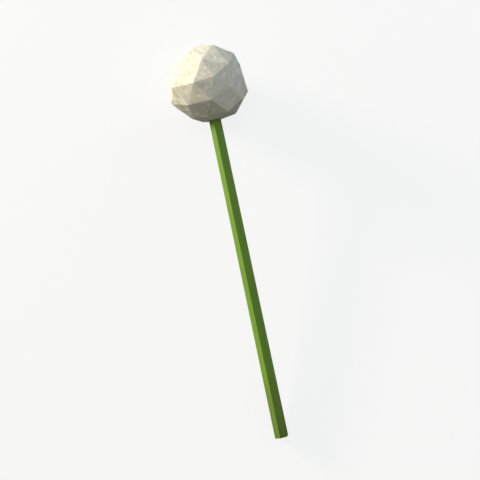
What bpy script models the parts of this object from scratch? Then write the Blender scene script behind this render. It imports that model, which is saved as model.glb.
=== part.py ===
"""A dandelion seed head, picked with its scape and lying down.

The head is a slightly uneven ball of eighty flat facets.  It is made of pappus tufts: one on every
facet and one on every corner, each a little dished star that stands out of a thin felted ball.  Each
tuft's beak runs in to its own seed on the receptacle in the middle.  Reflexed bracts hang round the
top of the scape inside the ball, and the scape is a straight, tapering, hollow six-sided tube.

Everything is modelled round the centre of the head, with +Z to the head's crown and the scape along
-Z.  An empty then lays the whole thing down on the head's flat spot and the scape's cut end.
"""
import math

import bmesh
import bpy
import numpy as np
from mathutils import Matrix, Vector

NAME = "dandelion_seed_head"
MM = 0.001
GAP = 0.3 * MM                      # left between neighbouring pieces
NEAR = 0.001 * MM                   # points closer than this count as one

# The ball
HEAD_RADIUS = 23.0 * MM             # mean distance of its corners from the centre
HEAD_TURN = math.radians(68.0)      # turn of the facets about the scape
UNEVENNESS = 0.055                  # how far a corner strays, as a share of the radius
UNEVENNESS_SEED = 525003
REST_DEPTH = 0.90                   # depth of the flat spot it lies on, as a share of the radius
REST_CORNERS = 4                    # corners of the ball that lie on the surface

# The felt that carries the tufts, as shares of the distance to the facets
FELT_OUTSIDE = 0.93
FELT_INSIDE = 0.72
THROAT_GAP = 0.6 * MM               # room round the scape where it comes through the felt

# Tufts
TUFT_RAYS = 8
TUFT_REACH = 0.540                  # tip radius, as a share of the way to the nearest neighbour
TUFT_WAIST = 0.68                   # radius between two rays, as a share of the tip radius
TUFT_DISH = 0.045                   # how far the middle is sunk, as a share of the head's radius
TUFT_GROOVE = 0.020                 # how far the web between two rays is sunk
TUFT_ROOT = 0.80                    # where its point ends inside the felt
TUFT_SEED = 11
BEAK_RADIUS = 0.38 * MM
BEAK_GAP = 0.5 * MM                 # between a beak and its seed's tip

# Receptacle and seeds
RECEPTACLE_RADIUS = 6.0 * MM
RECEPTACLE_BASE = -1.5 * MM         # height of its flat underside
SEED_SPREAD = 0.62                  # polar angle of a seed's foot, as a share of its tuft's
SEED_LENGTH = 3.6 * MM
SEED_ROOT = 0.7 * MM                # how deep its foot is sunk
SEED_RADIUS = 0.55 * MM
SEED_WAIST = 0.62                   # height of its widest place, as a share of its length

# Scape
SCAPE_REACH = 204.0 * MM            # centre of the head to the cut end
SCAPE_TOP_RADIUS = 3.55 * MM        # to a corner of its six sides
SCAPE_CUT_RADIUS = 4.03 * MM
SCAPE_WALL = 1.2 * MM
SCAPE_SIDES = 6
SCAPE_EDGE = 0.35 * MM
SCAPE_ROUNDED_OFF = 0.5 * SCAPE_EDGE    # how much the rounding takes off a corner
SCAPE_TURN = math.radians(13.3)     # how far a corner stands off straight down

# Bracts
BRACTS = 13
BRACT_LENGTH = 10.0 * MM
BRACT_WIDTH = 1.9 * MM
BRACT_THICKNESS = 0.7 * MM
BRACT_TAPER = 0.85                  # share of its width that a bract has lost at its tip
BRACT_TAPER_POWER = 2.5             # keeps most of the taper close to the tip
BRACT_SWELL = 0.25 * MM             # how far it bows out half way down
BRACT_ARCH = 0.15 * MM              # how far its edges bend in towards the scape
BRACT_FOOT = 0.4                    # depth of its foot, as a share of the collar's height
COLLAR_HEIGHT = 1.5 * MM
COLLAR_WALL = 1.0 * MM


def clear_scene():
    """Take out what the file opened with."""
    for item in list(bpy.data.objects):
        bpy.data.objects.remove(item, do_unlink=True)


def make_material(name, color, roughness):
    """A plain Principled finish."""
    material = bpy.data.materials.new(name)
    material.use_nodes = True
    shader = material.node_tree.nodes["Principled BSDF"]
    shader.inputs["Base Color"].default_value = (*color, 1.0)
    shader.inputs["Roughness"].default_value = roughness
    shader.inputs["Metallic"].default_value = 0.0
    return material


def add_object(name, bm, collection, parent, material):
    """Turn a bmesh into an object that hangs on the head's axes."""
    mesh = bpy.data.meshes.new(name)
    bm.to_mesh(mesh)
    bm.free()
    item = bpy.data.objects.new(name, mesh)
    item.parent = parent
    collection.objects.link(item)
    mesh.materials.append(material)
    return item


def add_boolean(item, operation, other, solver):
    """Join a collection to a piece, or cut one cutter out of it."""
    modifier = item.modifiers.new(operation.title(), "BOOLEAN")
    modifier.operation = operation
    modifier.solver = solver
    if isinstance(other, bpy.types.Collection):
        modifier.operand_type = "COLLECTION"
        modifier.collection = other
    else:
        modifier.object = other
    return modifier


def apply_modifiers(item):
    """Replace the piece's mesh by what its modifiers make of it."""
    graph = bpy.context.evaluated_depsgraph_get()
    mesh = bpy.data.meshes.new_from_object(item.evaluated_get(graph))
    item.modifiers.clear()
    old = item.data
    item.data = mesh
    bpy.data.meshes.remove(old)


def remove_collection(collection):
    """Take a collection of joined or cutting shapes out again."""
    for item in list(collection.objects):
        bpy.data.objects.remove(item, do_unlink=True)
    bpy.data.collections.remove(collection)


def rest_angle():
    """Tilt at which the flat spot and the scape's lowest corner touch the same level surface."""
    drop = SCAPE_CUT_RADIUS * math.cos(SCAPE_TURN) - SCAPE_ROUNDED_OFF
    reach = math.hypot(SCAPE_REACH, drop)
    return math.asin(REST_DEPTH * HEAD_RADIUS / reach) - math.atan2(drop, SCAPE_REACH)


def down_axis():
    """Straight down, seen from the head's own axes."""
    tilt = rest_angle()
    return np.array((0.0, math.cos(tilt), -math.sin(tilt)))


def ball_mesh():
    """Corners (42 x 3) and facets (80 x 3) of the uneven ball, with its flat spot."""
    bm = bmesh.new()
    bmesh.ops.create_icosphere(bm, subdivisions=2, radius=HEAD_RADIUS)
    bm.verts.index_update()
    # the middle of one long edge of the icosahedron goes to the pole that the scape leaves by
    tip = Matrix.Rotation(-math.atan2(1.0, (1.0 + math.sqrt(5.0)) / 2.0), 3, "Y")
    turn = Matrix.Rotation(HEAD_TURN, 3, "Z") @ tip
    corners = np.array([turn @ vert.co for vert in bm.verts])
    facets = np.array([[vert.index for vert in face.verts] for face in bm.faces])
    bm.free()
    draw = np.random.default_rng(UNEVENNESS_SEED)
    corners += HEAD_RADIUS * UNEVENNESS * draw.uniform(-1.0, 1.0, corners.shape)
    down = down_axis()
    depth = corners @ down
    floor = REST_DEPTH * HEAD_RADIUS
    lowest = np.argsort(depth)[-REST_CORNERS:]
    wanted = np.minimum(depth, floor)
    wanted[lowest] = floor
    corners += (wanted - depth)[:, None] * down
    return corners, facets


def ball_reach(corners, facets, directions):
    """Distance from the centre to the ball's surface along each direction.

    A direction is a mix of the three corners of the facet that it goes through, so that facet is the
    one whose smallest share is largest, and the surface lies where the shares add up to one.
    """
    shares = np.einsum("fij,nj->nfi", np.linalg.inv(corners[facets].transpose(0, 2, 1)), directions)
    facet = shares.min(axis=2).argmax(axis=1)
    return 1.0 / shares[np.arange(len(directions)), facet].sum(axis=1)


def tuft_sites(corners, facets):
    """Middles of the tufts, and whether each lies flat: every facet, and every corner but the scape's."""
    middles = corners[facets].mean(axis=1)
    kept = np.argsort(corners[:, 2] / np.linalg.norm(corners, axis=1))[1:]
    sites = np.concatenate((middles, corners[kept]))
    on_floor = corners @ down_axis() > REST_DEPTH * HEAD_RADIUS - NEAR
    flat = np.concatenate((on_floor[facets].all(axis=1), np.zeros(len(kept), bool)))
    return sites, flat


def ball_bmesh(corners, share):
    """The uneven ball, drawn in evenly towards its centre."""
    bm = bmesh.new()
    bmesh.ops.create_icosphere(bm, subdivisions=2, radius=HEAD_RADIUS)
    for vert, corner in zip(bm.verts, corners):
        vert.co = corner * share
    return bm


def turned_to(direction):
    """Rotation that takes +Z to a direction."""
    return Vector(direction).to_track_quat("Z", "Y").to_matrix()


def tuft_bmesh(site, reach, phase, flat, ball):
    """A dished star on the ball's surface, drawn in to a point inside the felt."""
    bm = bmesh.new()
    bmesh.ops.create_cone(bm, cap_ends=True, cap_tris=True, segments=2 * TUFT_RAYS,
                          radius1=0.0, radius2=1.0, depth=1.0)
    bmesh.ops.remove_doubles(bm, verts=bm.verts, dist=NEAR)
    turn = turned_to(site)
    rim = [vert for vert in bm.verts if vert.co.xy.length > 0.5]
    middle = [vert for vert in bm.verts if vert.co.xy.length < 0.5]
    for vert in rim:
        step = round(math.atan2(vert.co.y, vert.co.x) / (math.pi / TUFT_RAYS))
        angle = step * math.pi / TUFT_RAYS + phase
        is_tip = step % 2 == 0
        radius = reach if is_tip else reach * TUFT_WAIST
        spot = np.array(site) + np.array(turn @ Vector((math.cos(angle), math.sin(angle), 0.0))) * radius
        spot *= ball_reach(*ball, spot[None])[0]
        spot *= 1.0 if is_tip or flat else 1.0 - TUFT_GROOVE
        vert.co = spot
    for vert in middle:
        is_root = vert.co.z < 0.0
        share = TUFT_ROOT if is_root else (1.0 if flat else 1.0 - TUFT_DISH)
        vert.co = Vector(site) * share
    return bm


def seed_direction(site):
    """Which way a tuft's seed points, straight out of the receptacle's dome."""
    direction = Vector(site).normalized()
    polar = math.acos(direction.z) * SEED_SPREAD
    round_about = math.atan2(direction.y, direction.x)
    return Vector((math.sin(polar) * math.cos(round_about), math.sin(polar) * math.sin(round_about),
                   math.cos(polar)))


def beak_bmesh(site):
    """A slim three-sided stalk from just short of the seed's tip into the felt."""
    tip = seed_direction(site) * (RECEPTACLE_RADIUS + SEED_LENGTH)
    root = Vector(site) * TUFT_ROOT
    along = (root - tip).normalized()
    start = tip + along * BEAK_GAP
    length = (root - start).length
    bm = bmesh.new()
    bmesh.ops.create_cone(bm, cap_ends=True, cap_tris=False, segments=3,
                          radius1=BEAK_RADIUS, radius2=BEAK_RADIUS, depth=length)
    place = Matrix.Translation(start + along * length / 2.0) @ turned_to(along).to_4x4()
    bm.transform(place)
    return bm


def seed_bmesh(site):
    """A four-sided spindle with its foot sunk in the receptacle."""
    along = seed_direction(site)
    bm = bmesh.new()
    bmesh.ops.create_uvsphere(bm, u_segments=4, v_segments=2, radius=1.0)
    for vert in bm.verts:
        height = {1: SEED_LENGTH, 0: SEED_LENGTH * SEED_WAIST, -1: -SEED_ROOT}[round(vert.co.z)]
        vert.co = Vector((vert.co.x * SEED_RADIUS, vert.co.y * SEED_RADIUS, height))
    bm.transform(Matrix.Translation(along * RECEPTACLE_RADIUS) @ turned_to(along).to_4x4())
    return bm


def throat_bmesh():
    """The six-sided way through the felt that the scape takes, a little wider than the scape."""
    radius = SCAPE_TOP_RADIUS + THROAT_GAP
    bm = bmesh.new()
    bmesh.ops.create_cone(bm, cap_ends=True, segments=SCAPE_SIDES, radius1=radius, radius2=radius,
                          depth=HEAD_RADIUS)
    bm.transform(Matrix.Translation((0.0, 0.0, -HEAD_RADIUS)) @ scape_turn())
    return bm


def build_pappus(parts, axes, material):
    """The felted ball with every tuft and beak joined to it in one body."""
    ball = ball_mesh()
    corners, _ = ball
    sites, flat = tuft_sites(*ball)
    away = np.linalg.norm(sites[:, None] - sites[None], axis=2)
    np.fill_diagonal(away, np.inf)
    reach = TUFT_REACH * away.min(axis=1)
    phase = np.random.default_rng(TUFT_SEED).uniform(0.0, 2.0 * math.pi, len(sites))
    growth = bpy.data.collections.new("tufts")
    bpy.context.scene.collection.children.link(growth)
    for index, site in enumerate(sites):
        tuft = tuft_bmesh(site, reach[index], phase[index], flat[index], ball)
        add_object(f"tuft_{index:03d}", tuft, growth, axes, material)
        add_object(f"beak_{index:03d}", beak_bmesh(site), growth, axes, material)
    cutters = bpy.data.collections.new("cutters")
    bpy.context.scene.collection.children.link(cutters)
    hollow = add_object("hollow", ball_bmesh(corners, FELT_INSIDE), cutters, axes, material)
    throat = add_object("throat", throat_bmesh(), cutters, axes, material)
    pappus = add_object("pappus", ball_bmesh(corners, FELT_OUTSIDE), parts, axes, material)
    add_boolean(pappus, "DIFFERENCE", hollow, "MANIFOLD")
    add_boolean(pappus, "UNION", growth, "MANIFOLD")
    add_boolean(pappus, "DIFFERENCE", throat, "MANIFOLD")
    apply_modifiers(pappus)
    remove_collection(growth)
    remove_collection(cutters)
    return pappus


def build_receptacle(parts, axes, material):
    """The domed receptacle with all its seeds joined to it in one body."""
    sites, _ = tuft_sites(*ball_mesh())
    growth = bpy.data.collections.new("seeds")
    bpy.context.scene.collection.children.link(growth)
    for index, site in enumerate(sites):
        add_object(f"seed_{index:03d}", seed_bmesh(site), growth, axes, material)
    bm = bmesh.new()
    bmesh.ops.create_uvsphere(bm, u_segments=16, v_segments=10, radius=RECEPTACLE_RADIUS)
    cut = bmesh.ops.bisect_plane(bm, geom=bm.verts[:] + bm.edges[:] + bm.faces[:],
                                 plane_co=(0.0, 0.0, RECEPTACLE_BASE), plane_no=(0.0, 0.0, -1.0),
                                 clear_outer=True)
    rim = [edge for edge in cut["geom_cut"] if isinstance(edge, bmesh.types.BMEdge)]
    bmesh.ops.contextual_create(bm, geom=rim)
    bmesh.ops.recalc_face_normals(bm, faces=bm.faces)
    receptacle = add_object("receptacle", bm, parts, axes, material)
    add_boolean(receptacle, "UNION", growth, "MANIFOLD")
    apply_modifiers(receptacle)
    remove_collection(growth)
    return receptacle


def build_scape(parts, axes, material):
    """The hollow six-sided stalk, from just under the receptacle to its open cut end."""
    top = RECEPTACLE_BASE - GAP
    length = SCAPE_REACH + top
    bm = bmesh.new()
    bmesh.ops.create_cone(bm, cap_ends=False, segments=SCAPE_SIDES, radius1=SCAPE_CUT_RADIUS,
                          radius2=SCAPE_TOP_RADIUS, depth=length)
    bm.transform(Matrix.Translation((0.0, 0.0, top - length / 2.0)) @ scape_turn())
    scape = add_object("scape", bm, parts, axes, material)
    wall = scape.modifiers.new("Wall", "SOLIDIFY")
    wall.thickness = SCAPE_WALL
    wall.offset = -1.0
    wall.use_even_offset = True
    edges = scape.modifiers.new("Edges", "BEVEL")
    edges.width = SCAPE_EDGE
    edges.segments = 2
    edges.limit_method = "ANGLE"
    return scape


def scape_turn():
    """Turn about the scape that puts one corner close to straight down."""
    return Matrix.Rotation(math.pi / 2.0 - SCAPE_TURN, 4, "Z")


def blade_bmesh(angle, foot_radius):
    """One narrow pointed bract, bent back down along the scape and arched across."""
    bm = bmesh.new()
    bmesh.ops.create_grid(bm, x_segments=2, y_segments=3, size=0.5)
    for vert in bm.verts:
        along = 0.5 - vert.co.y
        across = 2.0 * vert.co.x
        width = BRACT_WIDTH * (1.0 - BRACT_TAPER * along ** BRACT_TAPER_POWER)
        side = across * width / 2.0
        swell = BRACT_SWELL * math.sin(math.pi * along)
        radius = foot_radius + swell - BRACT_ARCH * across ** 2
        height = RECEPTACLE_BASE - GAP - COLLAR_HEIGHT * BRACT_FOOT - along * BRACT_LENGTH
        vert.co = Vector((radius, side, height))
    bm.transform(Matrix.Rotation(angle, 4, "Z"))
    return bm


def build_bracts(parts, axes, material):
    """The collar under the receptacle with its reflexed bracts, in one body."""
    inside = SCAPE_TOP_RADIUS + GAP
    growth = bpy.data.collections.new("blades")
    bpy.context.scene.collection.children.link(growth)
    for index in range(BRACTS):
        angle = 2.0 * math.pi * index / BRACTS
        blade = add_object(f"blade_{index:02d}", blade_bmesh(angle, inside + COLLAR_WALL / 2.0), growth,
                           axes, material)
        wall = blade.modifiers.new("Wall", "SOLIDIFY")
        wall.thickness = BRACT_THICKNESS
        wall.offset = 0.0
    bm = bmesh.new()
    bmesh.ops.create_cone(bm, cap_ends=False, segments=2 * BRACTS, radius1=inside, radius2=inside,
                          depth=COLLAR_HEIGHT)
    bm.transform(Matrix.Translation((0.0, 0.0, RECEPTACLE_BASE - GAP - COLLAR_HEIGHT / 2.0)))
    bracts = add_object("bracts", bm, parts, axes, material)
    collar = bracts.modifiers.new("Collar", "SOLIDIFY")
    collar.thickness = COLLAR_WALL
    collar.offset = 1.0
    add_boolean(bracts, "UNION", growth, "MANIFOLD")
    apply_modifiers(bracts)
    remove_collection(growth)
    return bracts


def lay_down(axes, pieces):
    """Tilt the head's axes and put the bottom centre of the whole at the origin."""
    axes.rotation_euler = (-(math.pi / 2.0 - rest_angle()), 0.0, 0.0)
    bpy.context.view_layer.update()
    graph = bpy.context.evaluated_depsgraph_get()
    points = []
    for piece in pieces:
        mesh = piece.evaluated_get(graph).data
        points += [piece.matrix_world @ vert.co for vert in mesh.vertices]
    points = np.array(points)
    low, high = points.min(axis=0), points.max(axis=0)
    axes.location = -Vector(((low[0] + high[0]) / 2.0, (low[1] + high[1]) / 2.0, low[2]))


def main():
    """Build the seed head."""
    clear_scene()
    parts = bpy.data.collections.new(NAME)
    bpy.context.scene.collection.children.link(parts)
    axes = bpy.data.objects.new("head_axes", None)
    parts.objects.link(axes)
    cream = make_material("pappus", (0.88, 0.84, 0.65), 0.85)
    brown = make_material("seed", (0.23, 0.14, 0.07), 0.6)
    green = make_material("scape", (0.16, 0.31, 0.03), 0.5)
    dull_green = make_material("bract", (0.15, 0.25, 0.06), 0.65)
    pieces = [build_scape(parts, axes, green), build_receptacle(parts, axes, brown),
              build_bracts(parts, axes, dull_green), build_pappus(parts, axes, cream)]
    lay_down(axes, pieces)


if __name__ == "__main__":
    main()
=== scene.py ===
"""Looks of a picked dandelion seed head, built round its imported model.

The head is an uneven ball of eighty flat facets.  A felted ball of that shape carries one pappus tuft
on every facet and on every corner, and the bristles of each tuft lie along the facets that they
cross, so the facets show from a step away and the bristles close to.  Inside are the beaks, the seeds
on their receptacle and the bracts, and the scape is a hollow six-sided stalk with rounded edges.

Shapes are worked out round the centre of the head, with +Z to its crown and the scape along -Z, and
HeadAxes then lays them in the model's frame.
"""
import logging
import math
from dataclasses import dataclass, field
from enum import Enum

import bmesh
import bpy
import numpy as np
from mathutils import Matrix, Vector
from numpy.typing import NDArray


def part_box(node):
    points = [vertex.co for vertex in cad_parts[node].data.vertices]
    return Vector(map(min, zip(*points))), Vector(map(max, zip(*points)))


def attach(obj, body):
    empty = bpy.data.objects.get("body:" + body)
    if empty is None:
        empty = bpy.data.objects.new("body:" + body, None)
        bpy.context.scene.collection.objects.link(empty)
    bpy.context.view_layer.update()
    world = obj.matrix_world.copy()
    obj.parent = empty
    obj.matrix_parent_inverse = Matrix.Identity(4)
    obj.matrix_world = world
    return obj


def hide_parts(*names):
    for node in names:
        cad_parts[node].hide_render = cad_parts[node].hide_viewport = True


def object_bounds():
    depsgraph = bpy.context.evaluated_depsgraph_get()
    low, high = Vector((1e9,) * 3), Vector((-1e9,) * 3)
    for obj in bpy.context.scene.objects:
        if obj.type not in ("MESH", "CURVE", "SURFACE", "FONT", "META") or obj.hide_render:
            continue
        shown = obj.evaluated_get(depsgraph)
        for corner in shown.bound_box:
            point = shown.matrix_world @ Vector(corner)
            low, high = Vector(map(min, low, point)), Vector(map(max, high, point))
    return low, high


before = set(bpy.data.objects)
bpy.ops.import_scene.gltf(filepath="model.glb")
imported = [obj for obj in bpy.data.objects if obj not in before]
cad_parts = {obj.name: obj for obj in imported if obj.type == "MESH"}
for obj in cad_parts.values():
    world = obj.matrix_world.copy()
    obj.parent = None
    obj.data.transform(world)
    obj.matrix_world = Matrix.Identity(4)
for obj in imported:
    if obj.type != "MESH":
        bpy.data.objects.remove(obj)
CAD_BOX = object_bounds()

MM = 0.001
BODY = "root"
BOX_LOW, BOX_HIGH = (np.array(corner) for corner in CAD_BOX)
Points = NDArray[np.float64]
Indices = NDArray[np.int64]
Color = tuple[float, float, float]
Socket = bpy.types.NodeSocket
CROSSWAYS = math.cos(math.radians(50.0))    # an axis with less X than this is crossed with X, else with Y
FREE_WAY = np.array((0.31, 0.45, 0.83))     # a direction that no tuft points in
MIX_FIRST, MIX_SECOND, MIX_RESULT = 6, 7, 2     # the colour sockets of a Mix node

logging.basicConfig(level=logging.INFO, format="%(levelname)s %(message)s")
log = logging.getLogger("dandelion")


class TuftPlace(Enum):
    """Where on the ball a tuft sits."""

    FACET = "facet"
    CORNER = "corner"


class Section(Enum):
    """Number of sides of a thin stalk or bristle."""

    BRISTLE = 3
    BEAK = 4


class Slot(Enum):
    """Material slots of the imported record."""

    PAPPUS = "pappus"
    SEED = "seed"
    BRACT = "bract"
    SCAPE = "scape"


# ---- meshes


@dataclass
class Shape:
    """Points and faces of a piece, and named values at its points."""

    points: Points
    faces: list[Indices]
    values: dict[str, Points] = field(default_factory=dict)


def linked(name: str, data: bpy.types.ID) -> bpy.types.Object:
    """A new object in the scene, with its data.

    Args:
        name: The object's name.
        data: Its mesh, light or camera.

    Returns:
        The object.
    """
    piece = bpy.data.objects.new(name, data)
    bpy.context.scene.collection.objects.link(piece)
    return piece


def unit(vectors: Points) -> Points:
    """Vectors of any array shape, each made one long."""
    return vectors / np.linalg.norm(vectors, axis=-1, keepdims=True)


def stacked(*coordinates: Points) -> Points:
    """Coordinates whose shapes go together, as the last axis of one array."""
    return np.stack(np.broadcast_arrays(*coordinates), -1)


def even_turns(count: int) -> Points:
    """Angles that divide a full turn evenly."""
    return 2.0 * math.pi * np.arange(count) / count


def grid_faces(rows: int, columns: int, wrap_rows: bool = False, wrap_columns: bool = True) -> Indices:
    """Quads of a grid whose points are numbered row by row.

    Args:
        rows: Number of rows of points.
        columns: Number of points in a row.
        wrap_rows: Whether the last row joins the first.
        wrap_columns: Whether the last point of a row joins the first.

    Returns:
        One row of four point numbers for each quad.
    """
    row = np.arange(rows if wrap_rows else rows - 1)[:, None]
    column = np.arange(columns if wrap_columns else columns - 1)[None, :]
    next_row = (row + 1) % rows
    next_column = (column + 1) % columns
    quads = (row * columns + column, row * columns + next_column,
             next_row * columns + next_column, next_row * columns + column)
    return stacked(*quads).reshape(-1, 4)


def repeated(faces: Indices, stride: int, count: int) -> Indices:
    """The first copy's faces on each of a count of copies, each a stride of points after the last."""
    shift = np.arange(count)[:, None, None] * stride
    return (faces[None] + shift).reshape(-1, faces.shape[1])


def spikes(paths: Points, outward: Points, half_width: Points, thinness: float, section: Section) -> Shape:
    """Many thin tapered stalks at once, each closed at its foot and drawn to a point at its tip.

    A stalk's rings stand square to its path.  Each ring is a regular polygon of the path's half width,
    flattened by thinness along the outward direction, with a corner outward.

    Args:
        paths: Points along each stalk, stalks x stations x 3.
        outward: Which way is outward at each of those points.
        half_width: Half width at each of those points, stalks x stations.
        thinness: Height of a ring as a share of its width.
        section: Number of sides.

    Returns:
        All the stalks as one shape.
    """
    count, stations, _ = paths.shape
    sides = section.value
    tangent = unit(np.gradient(paths, axis=1))
    aside = unit(np.cross(outward, tangent))
    above = np.cross(tangent, aside)
    angle = math.pi / 2.0 + even_turns(sides)
    ring = (aside[:, :-1, None] * np.cos(angle)[:, None] +
            above[:, :-1, None] * (np.sin(angle) * thinness)[:, None])
    rings = paths[:, :-1, None] + ring * half_width[:, :-1, None, None]
    body = np.concatenate((rings.reshape(count, -1, 3), paths[:, -1:]), axis=1)
    stride = (stations - 1) * sides + 1
    step = np.arange(sides)
    last = (stations - 2) * sides
    tip = stacked(last + step, last + (step + 1) % sides, stride - 1)
    parts = (grid_faces(stations - 1, sides), tip, step[::-1][None])
    return Shape(body.reshape(-1, 3), [repeated(part, stride, count) for part in parts])


@dataclass(frozen=True)
class Profile:
    """Half outline of a turned shape, as shares of its length and of its radius, and its ribs."""

    heights: tuple[float, ...]
    radii: tuple[float, ...]
    sides: int
    ribs: int = 0
    rib_depth: float = 0.0

    def turned(self, feet: Points, axes: Points, length: float, radius: float) -> Shape:
        """Many copies of the shape, each standing on its own foot along its own axis.

        A ring's radius is the profile's, swelled by rib_depth times the cosine of the angle times the
        number of ribs.  Both ends are closed with a flat cap.

        Args:
            feet: Foot of each copy.
            axes: Unit direction of each copy.
            length: What a height of one stands for.
            radius: What a radius of one stands for.

        Returns:
            All the copies as one shape.
        """
        side_on = np.abs(axes[:, :1]) < CROSSWAYS
        across = unit(np.cross(axes, np.where(side_on, np.eye(3)[0], np.eye(3)[1])))
        second = np.cross(axes, across)
        angle = even_turns(self.sides)
        swell = 1.0 + self.rib_depth * np.cos(self.ribs * angle)
        circle = (across[:, None, None] * (np.cos(angle) * swell)[:, None] +
                  second[:, None, None] * (np.sin(angle) * swell)[:, None])
        heights = np.array(self.heights)[:, None, None] * length
        radii = np.array(self.radii)[:, None, None] * radius
        rings = feet[:, None, None] + axes[:, None, None] * heights + circle * radii
        stride = len(self.heights) * self.sides
        step = np.arange(self.sides)
        parts = (grid_faces(len(self.heights), self.sides), step[::-1][None],
                 (stride - self.sides + step)[None])
        return Shape(rings.reshape(-1, 3), [repeated(part, stride, len(feet)) for part in parts])


# ---- form and place


@dataclass(frozen=True)
class ScapeForm:
    """Sizes of the six-sided stalk, in metres."""

    reach: float = 204.0 * MM
    top: float = -1.8 * MM
    top_radius: float = 3.55 * MM
    cut_radius: float = 4.03 * MM
    wall: float = 1.2 * MM
    edge: float = 0.35 * MM
    sides: int = 6
    turn: float = math.radians(13.3)

    def lowest(self) -> float:
        """How far the lowest corner of the cut end is below the stalk's axis."""
        return self.cut_radius * math.cos(self.turn) - 0.5 * self.edge

    def corner_angles(self) -> Points:
        """Angle of each of its corners about its axis."""
        return math.pi / 2.0 - self.turn + even_turns(self.sides)


@dataclass(frozen=True)
class BallForm:
    """The uneven ball of facets that the tips of the bristles lie on."""

    radius: float = 23.0 * MM
    turn: float = math.radians(68.0)
    unevenness: float = 0.055
    seed: int = 525003
    rest_depth: float = 0.90
    rest_corners: int = 4

    def tilt(self, scape: ScapeForm) -> float:
        """Tilt at which the ball's flat spot and the scape's cut end touch one level surface."""
        reach = math.hypot(scape.reach, scape.lowest())
        return math.asin(self.rest_depth * self.radius / reach) - math.atan2(scape.lowest(), scape.reach)

    def corners_and_facets(self, down: Points) -> tuple[Points, Indices]:
        """The ball's corners and facets.

        A ball of eighty triangles is turned until the middle of one long edge of its icosahedron is at
        the pole that the scape leaves by.  Every corner then strays by an even random share of the
        radius, and the deepest few are put on one level plane.

        Args:
            down: Straight down, in the head's own axes.

        Returns:
            Corners, 42 x 3, and the corner numbers of the facets, 80 x 3.
        """
        ball = bmesh.new()
        bmesh.ops.create_icosphere(ball, subdivisions=2, radius=self.radius)
        ball.verts.index_update()
        golden = (1.0 + math.sqrt(5.0)) / 2.0
        turn = Matrix.Rotation(self.turn, 3, "Z") @ Matrix.Rotation(-math.atan2(1.0, golden), 3, "Y")
        corners = np.array([turn @ vert.co for vert in ball.verts])
        facets = np.array([[vert.index for vert in face.verts] for face in ball.faces])
        ball.free()
        draw = np.random.default_rng(self.seed)
        corners += self.radius * self.unevenness * draw.uniform(-1.0, 1.0, corners.shape)
        depth = corners @ down
        wanted = np.minimum(depth, self.rest_depth * self.radius)
        wanted[np.argsort(depth)[-self.rest_corners:]] = self.rest_depth * self.radius
        return corners + (wanted - depth)[:, None] * down, facets


class HeadAxes:
    """Where the head's own axes lie in the model's frame."""

    def __init__(self, ball: BallForm, scape: ScapeForm) -> None:
        """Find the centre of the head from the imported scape.

        The scape's box reaches as far to both sides of its axis, and its near end is the upper edge of
        the cut end, so the two give the centre across and along.

        Args:
            ball: Sizes of the ball.
            scape: Sizes of the stalk.
        """
        self.tilt = ball.tilt(scape)
        rise, run = math.sin(self.tilt), math.cos(self.tilt)
        low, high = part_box("scape")
        along = low.y + scape.reach * run + scape.lowest() * rise
        self.centre = np.array(((low.x + high.x) / 2.0, along, ball.rest_depth * ball.radius))
        self.rotation = np.array(((1.0, 0.0, 0.0), (0.0, rise, run), (0.0, -run, rise)))
        self.down = np.array((0.0, run, -rise))

    def to_frame(self, points: Points) -> Points:
        """Points in the head's axes, put into the model's frame."""
        return points @ self.rotation.T + self.centre

    def from_frame(self, points: Points) -> Points:
        """Points in the model's frame, put into the head's axes."""
        return (points - self.centre) @ self.rotation

    def make(self, name: str, shape: Shape, smooth: bool = True, boxed: bool = False) -> bpy.types.Object:
        """A mesh object at the frame's origin.

        Args:
            name: The object's name.
            shape: Its shape, in the head's axes.
            smooth: Whether its faces are shaded smooth.
            boxed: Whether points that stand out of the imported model's box are put on its side.

        Returns:
            The new object, linked to the scene.
        """
        points = self.to_frame(shape.points)
        if boxed:
            points = np.clip(points, BOX_LOW, BOX_HIGH)
        mesh = bpy.data.meshes.new(name)
        mesh.vertices.add(len(points))
        mesh.vertices.foreach_set("co", points.astype(np.float32).ravel())
        corners = np.concatenate([part.ravel() for part in shape.faces])
        sizes = np.concatenate([np.full(len(part), part.shape[1]) for part in shape.faces])
        mesh.loops.add(len(corners))
        mesh.loops.foreach_set("vertex_index", corners.astype(np.int32))
        mesh.polygons.add(len(sizes))
        mesh.polygons.foreach_set("loop_start", (np.cumsum(sizes) - sizes).astype(np.int32))
        mesh.polygons.foreach_set("use_smooth", np.full(len(sizes), smooth))
        mesh.update(calc_edges=True)
        for label, value in shape.values.items():
            layer = mesh.attributes.new(label, "FLOAT", "POINT")
            layer.data.foreach_set("value", value.astype(np.float32).ravel())
        return linked(name, mesh)


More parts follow.
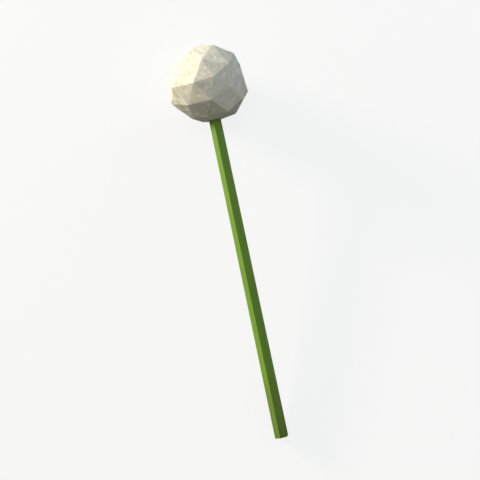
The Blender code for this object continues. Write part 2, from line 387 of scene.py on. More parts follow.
class Ball:
    """The ball's surface, and the places on it where tufts grow."""

    def __init__(self, form: BallForm, axes: HeadAxes) -> None:
        """Work out the corners and facets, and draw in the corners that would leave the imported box.

        Args:
            form: Sizes of the ball.
            axes: Where the head lies.
        """
        corners, self.facets = form.corners_and_facets(axes.down)
        self.corners = axes.from_frame(np.clip(axes.to_frame(corners), BOX_LOW, BOX_HIGH))
        first, second, third = self.corners[self.facets].transpose(1, 0, 2)
        self.normals = unit(np.cross(second - first, third - first))
        self._to_shares = np.linalg.inv(self.corners[self.facets].transpose(0, 2, 1))

    def drape(self, points: Points) -> tuple[Points, Indices]:
        """Slide points along their rays from the centre until they lie on the facets.

        A direction is a mix of the three corners of the facet that it goes through, so that facet is
        the one whose smallest share is largest, and the surface is where the shares add up to one.

        Args:
            points: Points in the head's axes, of any array shape.

        Returns:
            The points on the surface, and the number of the facet under each.
        """
        flat = points.reshape(-1, 3)
        shares = np.einsum("fij,nj->nfi", self._to_shares, flat)
        facet = shares.min(axis=2).argmax(axis=1)
        size = shares[np.arange(len(flat)), facet].sum(axis=1)
        return (flat / size[:, None]).reshape(points.shape), facet.reshape(points.shape[:-1])

    def tufts_at(self, place: TuftPlace) -> Points:
        """Middles of the tufts on every facet, or on every corner but the one where the scape leaves.

        Args:
            place: Whether to take the facets or the corners.

        Returns:
            One point for each tuft.
        """
        if place is TuftPlace.FACET:
            return self.corners[self.facets].mean(axis=1)
        polar = np.argsort(unit(self.corners)[:, 2])
        return self.corners[polar[1:]]

    def all_tufts(self) -> Points:
        """Middles of all the tufts."""
        return np.concatenate([self.tufts_at(place) for place in TuftPlace])


# ---- materials


class Nodes:
    """Short ways to put nodes into a material's or a group's tree."""

    def __init__(self, tree: bpy.types.NodeTree) -> None:
        """Work on one node tree."""
        self.tree = tree

    def add(self, kind: str, **settings: object) -> bpy.types.Node:
        """A new node with some of its settings changed.

        Args:
            kind: Blender's name for the kind of node.
            **settings: Its settings, by name.

        Returns:
            The node.
        """
        node = self.tree.nodes.new(kind)
        for name, value in settings.items():
            setattr(node, name, value)
        return node

    def feed(self, value: Socket | Color | float, target: Socket) -> None:
        """Join an output to an input, or set the input to a colour or a number.

        Args:
            value: The output, colour or number.
            target: The input.
        """
        if isinstance(value, Socket):
            self.tree.links.new(value, target)
        else:
            target.default_value = (*value, 1.0) if isinstance(value, tuple) else value

    def attribute(self, name: str) -> Socket:
        """A value that the mesh carries at its points."""
        return self.add("ShaderNodeAttribute", attribute_name=name).outputs["Fac"]

    def camera_ray(self) -> Socket:
        """One for the camera's own rays, and nought for all others."""
        return self.add("ShaderNodeLightPath").outputs["Is Camera Ray"]

    def ramp(self, source: Socket, *stops: tuple[float, Color]) -> Socket:
        """A colour ramp over a value.

        Args:
            source: The value.
            *stops: Positions and their colours, in order.

        Returns:
            The ramp's colour.
        """
        node = self.add("ShaderNodeValToRGB")
        elements = node.color_ramp.elements
        for _ in stops[2:]:
            elements.new(0.5)
        for element, (position, color) in zip(elements, stops):
            element.position = position
            element.color = (*color, 1.0)
        self.feed(source, node.inputs["Fac"])
        return node.outputs["Color"]

    def rise(self, source: Socket, start: float, end: float) -> Socket:
        """A value that goes from 0 to 1 while another goes from start to end.

        Args:
            source: The other value.
            start: Where it is when this one leaves 0.
            end: Where it is when this one reaches 1.

        Returns:
            The value, held between 0 and 1.
        """
        node = self.add("ShaderNodeMapRange")
        self.feed(source, node.inputs["Value"])
        self.feed(start, node.inputs["From Min"])
        self.feed(end, node.inputs["From Max"])
        return node.outputs["Result"]

    def mix(self, share: Socket, first: Socket | Color, second: Socket | Color) -> Socket:
        """A colour between two others.

        Args:
            share: How much there is of the second, from 0 to 1.
            first: The first colour.
            second: The second colour.

        Returns:
            The mixed colour.
        """
        node = self.add("ShaderNodeMix", data_type="RGBA")
        self.feed(share, node.inputs["Factor"])
        self.feed(first, node.inputs[MIX_FIRST])
        self.feed(second, node.inputs[MIX_SECOND])
        return node.outputs[MIX_RESULT]

    def combine(self, operation: str, first: Socket | float, second: Socket | float) -> Socket:
        """A sum, product or other operation on two values.

        Args:
            operation: Blender's name for the operation.
            first: The first value.
            second: The second value.

        Returns:
            The result.
        """
        node = self.add("ShaderNodeMath", operation=operation)
        self.feed(first, node.inputs[0])
        self.feed(second, node.inputs[1])
        return node.outputs[0]


class Mottle:
    """Shared effect: soft patches and fine grain, stretched along one axis."""

    NAME = "mottle"
    GRAIN_SCALE = 9.0

    @classmethod
    def group(cls) -> bpy.types.NodeTree:
        """The node group, which is built once."""
        return bpy.data.node_groups.get(cls.NAME) or cls._build()

    @classmethod
    def _build(cls) -> bpy.types.NodeTree:
        """Build the node group, from noise at one scale and noise at a finer one.

        Its inputs are Coordinates, Stretch, Scale and Grain.  It puts out Patches, from 0 to 1, and
        Height, the patches with the grain added, for a bump.

        Returns:
            The new group.
        """
        tree = bpy.data.node_groups.new(cls.NAME, "ShaderNodeTree")
        for name, kind in (("Coordinates", "Vector"), ("Stretch", "Vector"), ("Scale", "Float"),
                           ("Grain", "Float")):
            tree.interface.new_socket(name, in_out="INPUT", socket_type=f"NodeSocket{kind}")
        for name in ("Patches", "Height"):
            tree.interface.new_socket(name, in_out="OUTPUT", socket_type="NodeSocketFloat")
        nodes = Nodes(tree)
        given = nodes.add("NodeGroupInput").outputs
        result = nodes.add("NodeGroupOutput").inputs
        stretched = nodes.add("ShaderNodeVectorMath", operation="MULTIPLY")
        nodes.feed(given["Coordinates"], stretched.inputs[0])
        nodes.feed(given["Stretch"], stretched.inputs[1])
        patches = cls._noise(nodes, stretched.outputs[0], given["Scale"])
        finer = nodes.combine("MULTIPLY", given["Scale"], cls.GRAIN_SCALE)
        grain = cls._noise(nodes, stretched.outputs[0], finer)
        fine = nodes.combine("MULTIPLY", grain, given["Grain"])
        nodes.feed(patches, result["Patches"])
        nodes.feed(nodes.combine("ADD", patches, fine), result["Height"])
        return tree

    @staticmethod
    def _noise(nodes: Nodes, vector: Socket, scale: Socket) -> Socket:
        """A noise pattern.

        Args:
            nodes: The group's nodes.
            vector: Where the pattern is looked up.
            scale: How fine it is.

        Returns:
            The pattern, from 0 to 1.
        """
        node = nodes.add("ShaderNodeTexNoise")
        nodes.feed(vector, node.inputs["Vector"])
        nodes.feed(scale, node.inputs["Scale"])
        return node.outputs["Fac"]


@dataclass(frozen=True)
class Finish:
    """A surface of two mottled colours with a fine grain."""

    name: str
    color: Color
    patch_color: Color
    roughness: float
    scale: float
    patch_start: float = 0.35
    patch_end: float = 0.65
    stretch: tuple[float, float, float] = (1.0, 1.0, 1.0)
    grain: float = 0.5
    bump: float = 0.3
    bump_distance: float = 0.1 * MM
    sheen: float = 0.0
    roughness_change: float = 0.1

    def material(self) -> bpy.types.Material:
        """The finished material.

        Returns:
            A new material, named after the finish.
        """
        material = bpy.data.materials.new(self.name)
        material.use_nodes = True
        nodes = Nodes(material.node_tree)
        shader = material.node_tree.nodes["Principled BSDF"]
        nodes.feed(self.sheen, shader.inputs["Sheen Weight"])
        mottle = nodes.add("ShaderNodeGroup", node_tree=Mottle.group())
        nodes.feed(nodes.add("ShaderNodeTexCoord").outputs["Object"], mottle.inputs["Coordinates"])
        mottle.inputs["Stretch"].default_value = self.stretch
        nodes.feed(self.scale, mottle.inputs["Scale"])
        nodes.feed(self.grain, mottle.inputs["Grain"])
        patches = mottle.outputs["Patches"]
        mottled = nodes.ramp(patches, (self.patch_start, self.color), (self.patch_end, self.patch_color))
        nodes.feed(self.tint(nodes, mottled, patches), shader.inputs["Base Color"])
        uneven = nodes.combine("MULTIPLY", mottle.outputs["Height"], self.roughness_change)
        nodes.feed(nodes.combine("ADD", uneven, self.roughness - self.roughness_change / 2.0),
                   shader.inputs["Roughness"])
        bump = nodes.add("ShaderNodeBump")
        nodes.feed(self.bump, bump.inputs["Strength"])
        nodes.feed(self.bump_distance, bump.inputs["Distance"])
        nodes.feed(mottle.outputs["Height"], bump.inputs["Height"])
        nodes.feed(bump.outputs["Normal"], shader.inputs["Normal"])
        return material

    def tint(self, nodes: Nodes, color: Socket, patches: Socket) -> Socket:
        """What is laid over the mottled colour, which here is nothing."""
        return color


@dataclass(frozen=True)
class BristleFinish(Finish):
    """Silky bristles, a little darker at the middle of their tuft than at their tips."""

    middle_color: Color = (0.82, 0.78, 0.63)
    middle_size: float = 0.35

    def tint(self, nodes: Nodes, color: Socket, patches: Socket) -> Socket:
        """The middle colour over the feet of the bristles, by the mesh's value along."""
        share = nodes.rise(nodes.attribute("along"), 0.0, self.middle_size)
        return nodes.mix(share, self.middle_color, color)


@dataclass(frozen=True)
class BractFinish(Finish):
    """Dull green bracts with pale dry edges."""

    edge_color: Color = (0.45, 0.42, 0.24)
    edge_start: float = 0.55

    def tint(self, nodes: Nodes, color: Socket, patches: Socket) -> Socket:
        """The edge colour over the margins, by the mesh's value margin."""
        return nodes.mix(nodes.rise(nodes.attribute("margin"), self.edge_start, 1.0), color, self.edge_color)


@dataclass(frozen=True)
class ScapeFinish(Finish):
    """A green stalk that turns olive brown towards its cut end, and is pale where it is cut and inside."""

    foot_color: Color = (0.13, 0.15, 0.026)
    flesh_color: Color = (0.42, 0.50, 0.22)
    foot_start: float = 0.80
    foot_end: float = 1.12
    foot_wander: float = 0.25

    def tint(self, nodes: Nodes, color: Socket, patches: Socket) -> Socket:
        """The foot colour by the mesh's value along, and the flesh colour by its value flesh.

        Args:
            nodes: The material's nodes.
            color: The mottled colour.
            patches: The patches, which make the edge of the foot colour wander.

        Returns:
            The colour of the surface.
        """
        wander = nodes.combine("MULTIPLY", nodes.combine("SUBTRACT", patches, 0.5), self.foot_wander)
        along = nodes.combine("ADD", nodes.attribute("along"), wander)
        browned = nodes.mix(nodes.rise(along, self.foot_start, self.foot_end), color, self.foot_color)
        return nodes.mix(nodes.attribute("flesh"), browned, self.flesh_color)


@dataclass(frozen=True)
class FloorFinish(Finish):
    """A pale floor whose own glow, which only the camera sees, evens out the light that falls on it."""

    seen_color: Color = (0.17, 0.17, 0.17)
    glow: Color = (0.82, 0.82, 0.82)

    def material(self) -> bpy.types.Material:
        """The finished material, with its glow.

        Returns:
            A new material, named after the finish.
        """
        material = super().material()
        nodes = Nodes(material.node_tree)
        shader = material.node_tree.nodes["Principled BSDF"]
        glow = nodes.mix(nodes.camera_ray(), (0.0, 0.0, 0.0), self.glow)
        nodes.feed(glow, shader.inputs["Emission Color"])
        nodes.feed(1.0, shader.inputs["Emission Strength"])
        nodes.feed(0.0, shader.inputs["Specular IOR Level"])
        return material

    def tint(self, nodes: Nodes, color: Socket, patches: Socket) -> Socket:
        """The colour that the camera sees, where it looks at the floor."""
        return nodes.mix(nodes.camera_ray(), color, self.seen_color)


CREAM = BristleFinish("cream_bristle", (0.89, 0.86, 0.73), (0.86, 0.83, 0.70), 0.75, 90.0, sheen=0.1)
# The felt's colours are a little darker than the bristles' as painted shade under the bristles.
SHADE_DARKENED_FELT = Finish("cream_felt", (0.88, 0.85, 0.73), (0.84, 0.81, 0.70), 0.9, 500.0, bump=0.5, sheen=0.1)
HUB = Finish("tuft_hub", (0.83, 0.79, 0.64), (0.76, 0.71, 0.55), 0.7, 400.0)
BEAK = Finish("beak", (0.72, 0.70, 0.52), (0.60, 0.56, 0.38), 0.6, 300.0)
SEED = Finish("seed", (0.20, 0.12, 0.055), (0.30, 0.20, 0.10), 0.55, 700.0, bump=0.6)
RECEPTACLE = Finish("receptacle", (0.62, 0.62, 0.42), (0.50, 0.48, 0.28), 0.75, 500.0, bump=0.8)
BRACT = BractFinish("bract", (0.15, 0.25, 0.06), (0.22, 0.29, 0.09), 0.65, 300.0, stretch=(1.0, 0.2, 1.0))
SCAPE = ScapeFinish("scape", (0.174, 0.338, 0.022), (0.154, 0.308, 0.019), 0.55, 150.0,
                    stretch=(3.0, 0.15, 3.0), grain=0.6, bump_distance=0.08 * MM)
FLOOR = FloorFinish("floor", (0.45, 0.44, 0.43), (0.44, 0.43, 0.42), 0.9, 3.0, bump=0.0)


def dress(piece: bpy.types.Object, finish: Finish, slot: Slot, *nodes: str) -> bpy.types.Object:
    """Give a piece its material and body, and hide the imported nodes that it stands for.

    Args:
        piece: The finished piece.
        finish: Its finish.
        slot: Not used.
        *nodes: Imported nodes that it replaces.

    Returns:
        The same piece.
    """
    piece.data.materials.clear()
    piece.data.materials.append(finish.material())
    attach(piece, BODY)
    if nodes:
        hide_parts(*nodes)
    return piece


# ---- sub-assemblies


@dataclass(frozen=True)
class Receptacle:
    """The dome in the middle of the head, with a ribbed seed for every tuft."""

    ball: Ball
    axes: HeadAxes
    radius: float = 6.0 * MM
    base: float = -1.5 * MM
    dome_flat: float = 0.04
    dome_rings: int = 22
    dome_sides: int = 48
    spread: float = 0.62
    seed_length: float = 3.6 * MM
    seed_radius: float = 0.52 * MM
    seed_profile: Profile = Profile(heights=(-0.10, 0.25, 0.60, 0.82, 0.92, 1.0),
                                    radii=(0.35, 0.75, 1.0, 0.70, 0.35, 0.2),
                                    sides=10, ribs=5, rib_depth=0.14)

    def seed_directions(self) -> Points:
        """Which way each seed points: its polar angle is its tuft's times the spread.

        Returns:
            One unit direction for each tuft.
        """
        outward = unit(self.ball.all_tufts())
        polar = np.arccos(outward[:, 2]) * self.spread
        around = np.arctan2(outward[:, 1], outward[:, 0])
        return stacked(np.sin(polar) * np.cos(around), np.sin(polar) * np.sin(around), np.cos(polar))

    def seed_tips(self) -> Points:
        """The tip of every seed."""
        return self.seed_directions() * (self.radius + self.seed_length)

    def seeds(self) -> bpy.types.Object:
        """The ribbed spindle-shaped seeds, with their feet in the dome.

        Returns:
            The dressed piece.
        """
        directions = self.seed_directions()
        shape = self.seed_profile.turned(directions * self.radius, directions, self.seed_length,
                                         self.seed_radius)
        return dress(self.axes.make("seeds", shape), SEED, Slot.SEED, "receptacle")

    def dome(self) -> bpy.types.Object:
        """The dome that the seeds stand on: a circle's arc, turned about the scape's axis.

        Returns:
            The dressed piece.
        """
        polar = np.linspace(math.acos(self.base / self.radius), self.dome_flat, self.dome_rings)
        profile = Profile(tuple(np.cos(polar)), tuple(np.sin(polar)), self.dome_sides)
        shape = profile.turned(np.zeros((1, 3)), np.eye(3)[2:], self.radius, self.radius)
        return dress(self.axes.make("receptacle_dome", shape), RECEPTACLE, Slot.SEED)

    def build(self) -> list[bpy.types.Object]:
        """Make the seeds and the dome."""
        return [self.seeds(), self.dome()]


@dataclass(frozen=True)
class Pappus:
    """The felted ball, the bristles of its tufts, their hubs and their beaks."""

    ball: Ball
    axes: HeadAxes
    scape: ScapeForm
    felt_outside: float = 0.986
    felt_inside: float = 0.72
    throat_gap: float = 0.6 * MM
    throat_depths: tuple[float, float] = (1.1, 0.4)
    rays: int = 110
    stations: int = 4
    reach: float = 0.78
    shortest: float = 0.62
    scatter: float = 0.35
    foot: float = 0.05
    hub_depth: float = 0.988
    tip_lift: float = 0.997
    tip_spread: float = 0.003
    bristle_width: float = 0.075 * MM
    bristle_taper: float = 0.6
    bristle_thinness: float = 0.22
    hub_length: float = 1.0 * MM
    hub_radius: float = 0.30 * MM
    hub_profile: Profile = Profile(heights=(-0.9, -0.3, 0.06, 0.16), radii=(0.45, 1.0, 0.85, 0.3), sides=6)
    beak_radius: float = 0.14 * MM
    beak_stations: int = 4
    seed: int = 7

    def felt(self) -> bpy.types.Object:
        """The faceted felt under the bristles, hollow, with a six-sided way through for the scape.

        Returns:
            The dressed piece.
        """
        felt = self._scaled_ball("felt", self.felt_outside)
        hollow = self._scaled_ball("felt_hollow", self.felt_inside)
        for cutter in (hollow, self._throat()):
            cut = felt.modifiers.new("Cut", "BOOLEAN")
            cut.operation = "DIFFERENCE"
            cut.object = cutter
        graph = bpy.context.evaluated_depsgraph_get()
        mesh = bpy.data.meshes.new_from_object(felt.evaluated_get(graph))
        for cutter in [modifier.object for modifier in felt.modifiers]:
            bpy.data.objects.remove(cutter, do_unlink=True)
        felt.modifiers.clear()
        felt.data = mesh
        return dress(felt, SHADE_DARKENED_FELT, Slot.PAPPUS, "pappus")

    def _scaled_ball(self, name: str, share: float) -> bpy.types.Object:
        """The ball drawn in evenly to a share of its size."""
        return self.axes.make(name, Shape(self.ball.corners * share, [self.ball.facets]), smooth=False)

    def _throat(self) -> bpy.types.Object:
        """The prism that the way through is cut with.

        Returns:
            The prism, for the felt's cutter.
        """
        angle = self.scape.corner_angles()
        radius = self.scape.top_radius + self.throat_gap
        outside = np.linalg.norm(self.ball.corners, axis=1).max()
        depth = np.array(self.throat_depths)[:, None] * outside
        step = np.arange(len(angle))
        points = stacked(np.cos(angle) * radius, np.sin(angle) * radius, -depth).reshape(-1, 3)
        faces = [grid_faces(2, len(angle)), step[::-1][None], (step + len(angle))[None]]
        return self.axes.make("felt_throat", Shape(points, faces), smooth=False)

    def bristles(self, place: TuftPlace) -> bpy.types.Object:
        """The bristles of all the tufts on the facets, or on the corners.

        A bristle leaves its hub at an even angle plus a little chance, runs straight out, and every
        point of it is slid along its ray from the centre onto the facets.  It rises evenly from
        hub_depth to about tip_lift times that distance.

        Args:
            place: Which tufts.

        Returns:
            The dressed piece.
        """
        sites = self.ball.tufts_at(place)
        away = np.linalg.norm(sites[:, None] - self.ball.all_tufts()[None], axis=2)
        nearest = np.sort(away, axis=1)[:, 1]
        draw = np.random.default_rng(self.seed + len(sites))
        shape = (len(sites), self.rays)
        chance = draw.uniform(-1.0, 1.0, shape) * self.scatter
        angle = even_turns(self.rays) + chance * 2.0 * math.pi / self.rays
        length = self.reach * nearest[:, None] * draw.uniform(self.shortest, 1.0, shape)
        rise = draw.uniform(-1.0, 1.0, shape) * self.tip_spread
        across = unit(np.cross(sites, FREE_WAY))
        second = np.cross(unit(sites), across)
        heading = across[:, None] * np.cos(angle)[..., None] + second[:, None] * np.sin(angle)[..., None]
        length = np.minimum(length, self._room(sites[:, None], heading))
        along = np.linspace(self.foot, 1.0, self.stations)
        paths = sites[:, None, None] + heading[:, :, None] * (length[..., None] * along)[..., None]
        paths, facet = self.ball.drape(paths)
        lift = self.hub_depth + (self.tip_lift - self.hub_depth) * along
        paths *= (lift + rise[..., None] * along ** 2)[..., None]
        width = np.broadcast_to(self.bristle_width * (1.0 - self.bristle_taper * along), facet.shape)
        flat = (len(sites) * self.rays, self.stations)
        outward = self.ball.normals[facet].reshape(*flat, 3)
        spike = spikes(paths.reshape(*flat, 3), outward, width.reshape(flat), self.bristle_thinness,
                       Section.BRISTLE)
        share = np.append(np.repeat(along[:-1], Section.BRISTLE.value), along[-1])
        spike.values["along"] = np.tile(share, flat[0])
        piece = self.axes.make(f"{place.value}_bristles", spike, smooth=False, boxed=True)
        return dress(piece, CREAM, Slot.PAPPUS)

    def _room(self, sites: Points, headings: Points) -> Points:
        """How far a bristle can run before it stands over the way that the scape goes through.

        Seen along the scape, the bristle is a straight line and the way through is a circle, so this
        is the nearer root of a quadratic, or endless where they don't meet.

        Args:
            sites: Middle of each tuft.
            headings: Unit direction of each bristle.

        Returns:
            The length for each bristle.
        """
        place, pace = sites[..., :2], headings[..., :2]
        clear = self.scape.top_radius + self.throat_gap
        square = np.sum(pace ** 2, axis=-1)
        toward = -np.sum(place * pace, axis=-1)
        inside = toward ** 2 - square * (np.sum(place ** 2, axis=-1) - clear ** 2)
        meets = (sites[..., 2] < 0.0) & (toward > 0.0) & (inside > 0.0)
        return np.where(meets, (toward - np.sqrt(np.maximum(inside, 0.0))) / square, np.inf)

    def hubs(self) -> bpy.types.Object:
        """The small nub in the middle of every tuft, where its bristles meet.

        Returns:
            The dressed piece.
        """
        sites = self.ball.all_tufts()
        feet = sites * self.hub_depth
        shape = self.hub_profile.turned(feet, unit(sites), self.hub_length, self.hub_radius)
        return dress(self.axes.make("tuft_hubs", shape, boxed=True), HUB, Slot.PAPPUS)

    def beaks(self, tips: Points) -> bpy.types.Object:
        """The slim stalk from every seed's tip straight out to its tuft.

        Args:
            tips: Tip of each seed, in the order of the tufts.

        Returns:
            The dressed piece.
        """
        way = self.ball.all_tufts() * self.hub_depth - tips
        paths = tips[:, None] + way[:, None] * np.linspace(0.0, 1.0, self.beak_stations)[None, :, None]
        outward = np.broadcast_to(unit(np.cross(tips, way))[:, None], paths.shape)
        shape = spikes(paths, outward, np.full(paths.shape[:2], self.beak_radius), 1.0, Section.BEAK)
        return dress(self.axes.make("beaks", shape), BEAK, Slot.PAPPUS)

    def build(self, seed_tips: Points) -> list[bpy.types.Object]:
        """Make every piece of the pappus, out from the tips of the seeds."""
        bristles = [self.bristles(place) for place in TuftPlace]
        return [self.felt(), *bristles, self.hubs(), self.beaks(seed_tips)]


@dataclass(frozen=True)
class Bracts:
    """The collar under the receptacle and the narrow bracts that bend back along the scape."""

    axes: HeadAxes
    scape: ScapeForm
    count: int = 13
    length: float = 10.0 * MM
    width: float = 1.9 * MM
    thickness: float = 0.45 * MM
    taper: float = 0.9
    taper_power: float = 2.5
    swell: float = 0.25 * MM
    arch: float = 0.15 * MM
    foot: float = 0.4
    rows: int = 14
    columns: int = 7
    collar_height: float = 1.5 * MM
    collar_wall: float = 1.0 * MM
    collar_turns: int = 52
    collar_sides: int = 12
    gap: float = 0.3 * MM

    def middle(self) -> float:
        """Distance from the scape's axis to the middle of the collar's wall."""
        return self.scape.top_radius + self.gap + self.collar_wall / 2.0

    def collar(self) -> bpy.types.Object:
        """The ring that the bracts grow from: an ellipse carried round the scape.

        Returns:
            The dressed piece.
        """
        around = even_turns(self.collar_turns)[:, None]
        section = even_turns(self.collar_sides)[None, :]
        radius = self.middle() + self.collar_wall / 2.0 * np.cos(section)
        height = self.scape.top - self.collar_height / 2.0 * (1.0 - np.sin(section))
        points = stacked(np.cos(around) * radius, np.sin(around) * radius, height)
        faces = grid_faces(self.collar_turns, self.collar_sides, wrap_rows=True)[:, ::-1]
        shape = Shape(points.reshape(-1, 3), [faces], {"margin": np.zeros(points[..., 0].size)})
        return dress(self.axes.make("bract_collar", shape), BRACT, Slot.BRACT)

    def blades(self) -> bpy.types.Object:
        """The bracts: blades that bow out half way down, arch across and taper to their tips.

        Along is 0 at the foot and 1 at the tip, and across goes from -1 to 1.  A blade's half width
        shrinks by taper times along to taper_power, and its distance from the scape is a sine of along
        less a parabola of across.

        Returns:
            The dressed piece.
        """
        along, across = np.meshgrid(np.linspace(0.0, 1.0, self.rows), np.linspace(-1.0, 1.0, self.columns),
                                    indexing="ij")
        side = across * self.width / 2.0 * (1.0 - self.taper * along ** self.taper_power)
        radius = self.middle() + self.swell * np.sin(math.pi * along) - self.arch * across ** 2
        height = self.scape.top - self.foot * self.collar_height - along * self.length
        angle = even_turns(self.count)[:, None, None]
        points = stacked(radius * np.cos(angle) - side * np.sin(angle),
                         radius * np.sin(angle) + side * np.cos(angle), height)
        sheet = grid_faces(self.rows, self.columns, wrap_columns=False)
        faces = repeated(sheet, self.rows * self.columns, self.count)
        margin = np.tile(np.maximum(np.abs(across), along ** self.taper_power).ravel(), self.count)
        piece = self.axes.make("bract_blades", Shape(points.reshape(-1, 3), [faces], {"margin": margin}))
        wall = piece.modifiers.new("Wall", "SOLIDIFY")
        wall.thickness = self.thickness
        wall.offset = 0.0
        return dress(piece, BRACT, Slot.BRACT, "bracts")

    def build(self) -> list[bpy.types.Object]:
        """Make the collar and the bracts."""
        return [self.collar(), self.blades()]


@dataclass(frozen=True)
class Scape:
    """The hollow six-sided stalk."""

    axes: HeadAxes
    form: ScapeForm
    rim: float = 0.22 * MM
    rim_points: int = 4
    outer_rows: int = 60
    inner_rows: int = 12
    edge_points: int = 4
    side_points: int = 14
    ribs: int = 24
    rib_depth: float = 0.03 * MM

    def _wall(self) -> tuple[Points, Points]:
        """Section through the wall, down the outside, round the cut, up the inside and round the top.

        It is a long rectangle whose four corners are quarter circles of the rim's radius.

        Returns:
            Distance from the top of the stalk, and depth below its outer skin, at each point.
        """
        length = self.form.reach + self.form.top
        quarter = np.linspace(0.0, math.pi / 2.0, self.rim_points)
        near, far = self.rim * (1.0 - np.sin(quarter)), self.rim * (1.0 - np.cos(quarter))
        down = np.linspace(self.rim, length - self.rim, self.outer_rows)[1:-1]
        up = np.linspace(length - self.rim, self.rim, self.inner_rows)[1:-1]
        distance = np.concatenate((down, length - near, length - near[::-1], up, near, near[::-1]))
        depth = np.concatenate((0.0 * down, far, self.form.wall - far[::-1], 0.0 * up + self.form.wall,
                                self.form.wall - far, far[::-1]))
        return distance, depth

    def _outline(self, radius: Points) -> Points:
        """The stalk's outline at each station: a six-sided polygon with rounded corners.

        Each corner is an arc of the edge's radius, and the straight sides between arcs are evenly
        divided.

        Args:
            radius: Centre to an unrounded corner, at each station.

        Returns:
            Points across the stalk, stations x points x 2.
        """
        half = math.pi / self.form.sides
        sweep = np.linspace(-half, half, self.edge_points)
        edge = np.minimum(self.form.edge, radius / 2.0)[:, None]
        middle = radius[:, None] - edge / math.cos(half)
        arc = stacked(middle + edge * np.cos(sweep), edge * np.sin(sweep))
        start = arc[:, -1:]
        end = arc[:, :1] @ self._spin(np.array([2.0 * half]))[0].T
        share = np.linspace(0.0, 1.0, self.side_points + 2)[1:-1, None]
        side = np.concatenate((arc, start + (end - start) * share), axis=1)
        around = np.einsum("cij,spj->scpi", self._spin(self.form.corner_angles()), side)
        return around.reshape(len(radius), -1, 2)

    @staticmethod
    def _spin(angles: Points) -> Points:
        """Turns in the plane, angles x 2 x 2."""
        cosine, sine = np.cos(angles), np.sin(angles)
        return stacked(cosine, -sine, sine, cosine).reshape(-1, 2, 2)

    def build(self) -> list[bpy.types.Object]:
        """The stalk, as its wall's section carried round its outline, faintly ribbed outside.

        A groove's depth is half of rib_depth times one less the cosine of ribs times the angle.

        Returns:
            The one dressed piece.
        """
        form = self.form
        distance, depth = self._wall()
        along = distance / (form.reach + form.top)
        radius = form.top_radius + (form.cut_radius - form.top_radius) * along
        outline = self._outline(radius - depth / math.cos(math.pi / form.sides))
        around = np.arctan2(outline[..., 1], outline[..., 0])
        groove = self.rib_depth * (0.5 - 0.5 * np.cos(self.ribs * around)) * (depth == 0.0)[:, None]
        outline *= 1.0 - (groove / radius[:, None])[..., None]
        points = stacked(outline[..., 0], outline[..., 1], (form.top - distance)[:, None])
        faces = grid_faces(*points.shape[:2], wrap_rows=True)[:, ::-1]
        end = np.clip((distance - distance.max() + self.rim) / self.rim, 0.0, 1.0)
        flesh = np.maximum(end * (depth > 0.0), depth > form.wall / 2.0)
        values = {"along": np.repeat(along, points.shape[1]), "flesh": np.repeat(flesh, points.shape[1])}
        piece = self.axes.make("scape_stalk", Shape(points.reshape(-1, 3), [faces], values), boxed=True)
        return [dress(piece, SCAPE, Slot.SCAPE, "scape")]


# ---- studio


@dataclass(frozen=True)
class Lamp:
    """An area lamp: where it is seen from the head, in degrees and metres, its sides, watts and colour.

    The azimuth is counted anticlockwise from the view's right, along the floor.
    """

    name: str
    azimuth: float
    elevation: float
    distance: float
    size: tuple[float, float]
    power: float
    color: Color


LAMPS = (Lamp("key", 154.0, 11.0, 1.4, (0.5, 0.14), 31.0, (1.0, 0.95, 0.80)),
         Lamp("sky", 45.0, 26.0, 1.4, (1.2, 0.9), 7.0, (0.60, 0.79, 1.0)),
         Lamp("front", 100.0, 80.0, 1.4, (1.2, 1.2), 4.4, (1.0, 0.97, 0.90)))


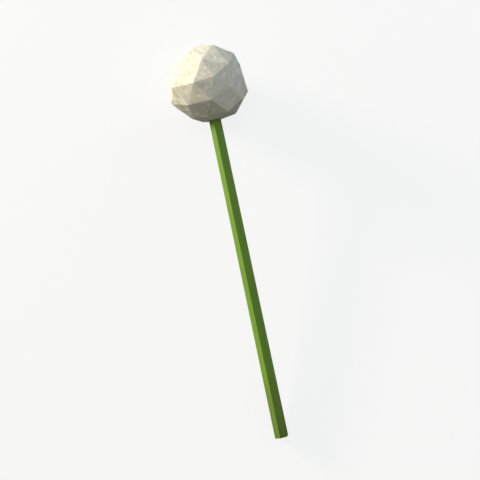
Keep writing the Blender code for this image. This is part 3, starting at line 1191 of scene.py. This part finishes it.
@dataclass(frozen=True)
class Studio:
    """The pale floor, the backdrop, the lamps and the camera."""

    axes: HeadAxes
    lean: float = math.radians(11.9)
    fill: float = 0.87
    lens: float = 85.0
    sensor: float = 36.0
    floor_side: float = 6.0
    ambient: Color = (0.12, 0.12, 0.12)
    backdrop: Color = (0.86, 0.86, 0.86)

    def view_axes(self) -> tuple[Vector, Vector, Vector]:
        """The view's own axes, for a camera square to the scape that shows it leaning.

        Returns:
            Unit directions to the right, up and towards the camera.
        """
        rise, run = math.sin(self.axes.tilt), math.cos(self.axes.tilt)
        toward = Vector((0.0, -rise, run))
        along = Vector((0.0, run, rise))
        up = along * math.cos(self.lean) + along.cross(toward) * math.sin(self.lean)
        return up.cross(toward), up, toward

    def camera(self) -> None:
        """The camera, centred on the whole head and scape, which take up fill of the view's height."""
        right, up, toward = self.view_axes()
        height = np.abs(np.array(up)) @ (BOX_HIGH - BOX_LOW)
        data = bpy.data.cameras.new("camera")
        data.lens = self.lens
        data.sensor_width = self.sensor
        camera = linked("camera", data)
        place = Vector((BOX_LOW + BOX_HIGH) / 2.0) + toward * (height / self.fill * self.lens / self.sensor)
        camera.matrix_world = Matrix.Translation(place) @ Matrix((right, up, toward)).transposed().to_4x4()
        bpy.context.scene.camera = camera

    def hang(self, lamp: Lamp) -> None:
        """Put an area lamp in its place, shining at the middle of the head.

        Args:
            lamp: The lamp.
        """
        right, up, _ = self.view_axes()
        turn, rise = math.radians(lamp.azimuth), math.radians(lamp.elevation)
        toward = Vector((right.x, right.y, 0.0)).normalized() * math.cos(turn) * math.cos(rise)
        toward += Vector((up.x, up.y, 0.0)).normalized() * math.sin(turn) * math.cos(rise)
        toward += Vector((0.0, 0.0, math.sin(rise)))
        data = bpy.data.lights.new(lamp.name, "AREA")
        data.shape = "RECTANGLE"
        data.energy = lamp.power
        data.size, data.size_y = lamp.size
        data.color = lamp.color
        piece = linked(lamp.name, data)
        piece.location = Vector(self.axes.centre) + toward * lamp.distance
        piece.rotation_euler = toward.to_track_quat("Z", "Y").to_euler()

    def floor(self) -> None:
        """The pale surface that the head lies on."""
        mesh = bpy.data.meshes.new("floor")
        half = self.floor_side / 2.0
        mesh.from_pydata([(-half, -half, 0.0), (half, -half, 0.0), (half, half, 0.0), (-half, half, 0.0)],
                         [], [(0, 1, 2, 3)])
        mesh.materials.append(FLOOR.material())
        linked("floor", mesh)

    def world(self) -> None:
        """Even light from all round, in front of a pale backdrop."""
        world = bpy.data.worlds.new("studio")
        world.use_nodes = True
        nodes = Nodes(world.node_tree)
        background = world.node_tree.nodes["Background"]
        shown = nodes.mix(nodes.camera_ray(), self.ambient, self.backdrop)
        nodes.feed(shown, background.inputs["Color"])
        nodes.feed(1.0, background.inputs["Strength"])
        bpy.context.scene.world = world

    def build(self) -> None:
        """Set the floor, backdrop, lamps and camera."""
        self.floor()
        self.world()
        for lamp in LAMPS:
            self.hang(lamp)
        self.camera()
        bpy.context.scene.view_settings.view_transform = "Standard"


def main() -> None:
    """Build the seed head's visible pieces and the studio round them."""
    scape_form = ScapeForm()
    ball_form = BallForm()
    axes = HeadAxes(ball_form, scape_form)
    ball = Ball(ball_form, axes)
    receptacle = Receptacle(ball, axes)
    pieces = Scape(axes, scape_form).build()
    pieces += Bracts(axes, scape_form).build()
    pieces += receptacle.build()
    pieces += Pappus(ball, axes, scape_form).build(receptacle.seed_tips())
    for piece in pieces:
        log.info("%s: %d faces", piece.name, len(piece.data.polygons))
    Studio(axes).build()


if __name__ == "__main__":
    main()
